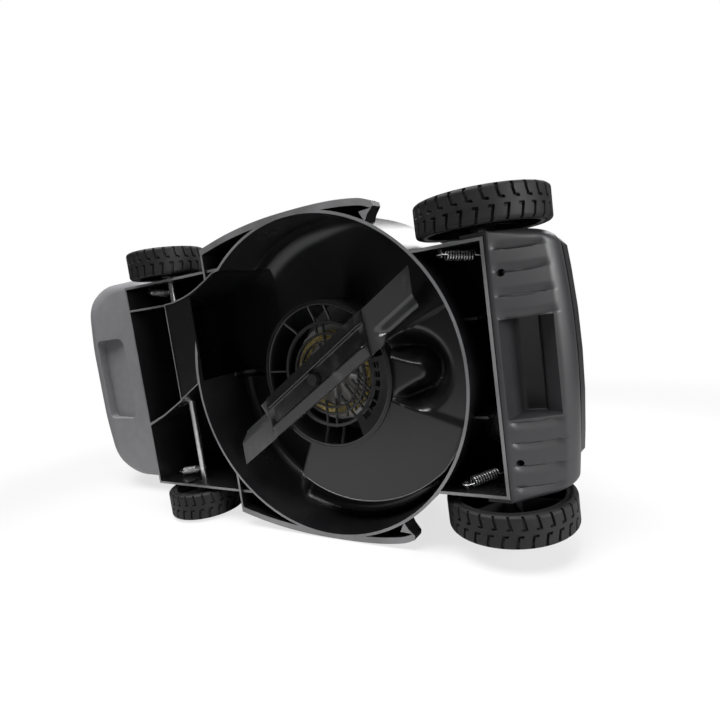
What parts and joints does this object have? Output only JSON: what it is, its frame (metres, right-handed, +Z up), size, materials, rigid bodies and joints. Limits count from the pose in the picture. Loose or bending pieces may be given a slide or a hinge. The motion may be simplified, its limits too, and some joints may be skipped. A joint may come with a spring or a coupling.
{
  "type": "electric lawn mower",
  "caption": "Mains electric lawn mower: moulded deck with round blade chamber and rear discharge, grass collector, sprung axles with three cutting heights, folding handle with bail lever.",
  "frame": {"origin": "on the ground, under the middle of the length and width", "axes": "+X forward along the length, +Y to the machine's left, +Z up"},
  "size_m": [0.8381, 0.361, 0.3016],
  "materials": {
    "deck_plastic": "glossy black moulding",
    "black_plastic": "matte black moulding",
    "bumper_plastic": "satin dark grey moulding",
    "grey_plastic": "fine-grained dark grey moulding",
    "tyre_plastic": "matte black, grooved",
    "bright_steel": "plated, bright",
    "painted_steel": "black powder coat",
    "winding": "varnished copper wire",
    "lamination": "stacked electrical steel",
    "red_plastic": "glossy red",
    "grip_foam": "closed-cell foam"
  },
  "bodies": {
    "chassis": {"deck": "deck_plastic", "upper_cover": "black_plastic", "front_bumper": "bumper_plastic", "bumper_screw_left": "bright_steel", "bumper_screw_right": "bright_steel", "motor_grille": "black_plastic", "stator_core": "lamination", "lower_winding": "winding", "upper_winding": "winding", "lower_bearing": "bright_steel", "upper_bearing": "bright_steel", "motor_bracket": "grey_plastic", "start_capacitor": "grey_plastic", "handle_bracket_left": "painted_steel", "handle_bracket_right": "painted_steel", "flap_pin": "bright_steel", "flap_spring": "bright_steel", "front_left_spring": "bright_steel", "front_right_spring": "bright_steel", "rear_left_spring": "bright_steel", "rear_right_spring": "bright_steel"},
    "blade_set": {"blade": "painted_steel", "blade_carrier": "painted_steel", "blade_bolt": "painted_steel", "blade_washer": "painted_steel", "blade_boss": "bright_steel", "motor_shaft": "bright_steel", "rotor_core": "lamination", "cooling_fan": "grey_plastic"},
    "front_axle_bar": {"front_axle": "bright_steel"},
    "rear_axle_bar": {"rear_axle": "bright_steel"},
    "collector": {"collector_tub": "grey_plastic", "collector_lid": "grey_plastic", "collector_handle": "black_plastic"},
    "discharge_flap": {"rear_flap": "black_plastic"},
    "lower_handle_frame": {"lower_handle": "painted_steel"},
    "upper_handle_frame": {"upper_handle": "painted_steel", "grip_left": "grip_foam", "grip_right": "grip_foam", "switch_housing": "black_plastic", "mains_inlet": "black_plastic"},
    "bail": {"bail_lever": "red_plastic"},
    "button": {"lock_button": "red_plastic"},
    "front_left_roller": {"front_left_tyre": "tyre_plastic", "front_left_wheel": "black_plastic", "front_left_wheel_cap": "grey_plastic"},
    "front_right_roller": {"front_right_tyre": "tyre_plastic", "front_right_wheel": "black_plastic", "front_right_wheel_cap": "grey_plastic"},
    "rear_left_roller": {"rear_left_tyre": "tyre_plastic", "rear_left_wheel": "black_plastic", "rear_left_wheel_cap": "grey_plastic"},
    "rear_right_roller": {"rear_right_tyre": "tyre_plastic", "rear_right_wheel": "black_plastic", "rear_right_wheel_cap": "grey_plastic"},
    "bracket_clamp_left": {"bracket_knob_left": "black_plastic"},
    "fold_clamp_left": {"fold_knob_left": "black_plastic"},
    "bracket_clamp_right": {"bracket_knob_right": "black_plastic"},
    "fold_clamp_right": {"fold_knob_right": "black_plastic"}
  },
  "joints": [
    {"name": "blade_spin", "type": "hinge", "parent": "chassis", "child": "blade_set", "pos_m": [0.1554, 0, 0.0279], "axis": [0, 0, 1], "continuous": true},
    {"name": "front_axle_height", "type": "slide", "parent": "chassis", "child": "front_axle_bar", "axis": [0, 0, -1], "range_m": [0, 0.02], "deforming": ["front_left_spring", "front_right_spring"]},
    {"name": "rear_axle_height", "type": "slide", "parent": "chassis", "child": "rear_axle_bar", "axis": [0, 0, -1], "range_m": [0, 0.02], "deforming": ["rear_left_spring", "rear_right_spring"]},
    {"name": "front_left_wheel_turn", "type": "hinge", "parent": "front_axle_bar", "child": "front_left_roller", "pos_m": [0.3467, 0, 0.0622], "axis": [0, 1, 0], "continuous": true},
    {"name": "front_right_wheel_turn", "type": "hinge", "parent": "front_axle_bar", "child": "front_right_roller", "pos_m": [0.3467, 0, 0.0622], "axis": [0, 1, 0], "continuous": true},
    {"name": "rear_left_wheel_turn", "type": "hinge", "parent": "rear_axle_bar", "child": "rear_left_roller", "pos_m": [-0.0794, 0, 0.0496], "axis": [0, 1, 0], "continuous": true},
    {"name": "rear_right_wheel_turn", "type": "hinge", "parent": "rear_axle_bar", "child": "rear_right_roller", "pos_m": [-0.0794, 0, 0.0496], "axis": [0, 1, 0], "continuous": true},
    {"name": "collector_out", "type": "slide", "parent": "chassis", "child": "collector", "axis": [-1, 0, 0], "range_m": [0, 0.3]},
    {"name": "flap_lift", "type": "hinge", "parent": "chassis", "child": "discharge_flap", "pos_m": [-0.1406, 0, 0.16074], "axis": [0, 1, 0], "range_deg": [0, 60], "stiffness_Nm_per_rad": 0.05, "deforming": ["flap_spring"]},
    {"name": "lower_handle_fold", "type": "hinge", "parent": "chassis", "child": "lower_handle_frame", "pos_m": [-0.0596, 0, 0.2234], "axis": [0, -1, 0], "range_deg": [0, 125]},
    {"name": "upper_handle_fold", "type": "hinge", "parent": "lower_handle_frame", "child": "upper_handle_frame", "pos_m": [0.3204, 0, 0.2234], "axis": [0, 1, 0], "range_deg": [0, 175]},
    {"name": "bail_pull", "type": "hinge", "parent": "upper_handle_frame", "child": "bail", "pos_m": [-0.1346, 0, 0.26439], "axis": [0, -1, 0], "range_deg": [0, 22], "stiffness_Nm_per_rad": 0.6, "springref_deg": -11.46},
    {"name": "lock_button_press", "type": "slide", "parent": "upper_handle_frame", "child": "button", "axis": [0, 0, -1], "range_m": [0, 0.003], "stiffness_N_per_m": 200, "springref_m": -0.002},
    {"name": "bracket_knob_left_turn", "type": "hinge", "parent": "chassis", "child": "bracket_clamp_left", "pos_m": [-0.0596, 0.149, 0.2234], "axis": [0, 1, 0], "continuous": true},
    {"name": "fold_knob_left_turn", "type": "hinge", "parent": "lower_handle_frame", "child": "fold_clamp_left", "pos_m": [0.3204, 0.112, 0.2234], "axis": [0, -1, 0], "continuous": true},
    {"name": "bracket_knob_right_turn", "type": "hinge", "parent": "chassis", "child": "bracket_clamp_right", "pos_m": [-0.0596, -0.149, 0.2234], "axis": [0, -1, 0], "continuous": true},
    {"name": "fold_knob_right_turn", "type": "hinge", "parent": "lower_handle_frame", "child": "fold_clamp_right", "pos_m": [0.3204, -0.112, 0.2234], "axis": [0, 1, 0], "continuous": true}
  ],
  "couplings": [
    {"joint": "upper_handle_fold", "follows": "lower_handle_fold", "ratio": 1.39}
  ]
}
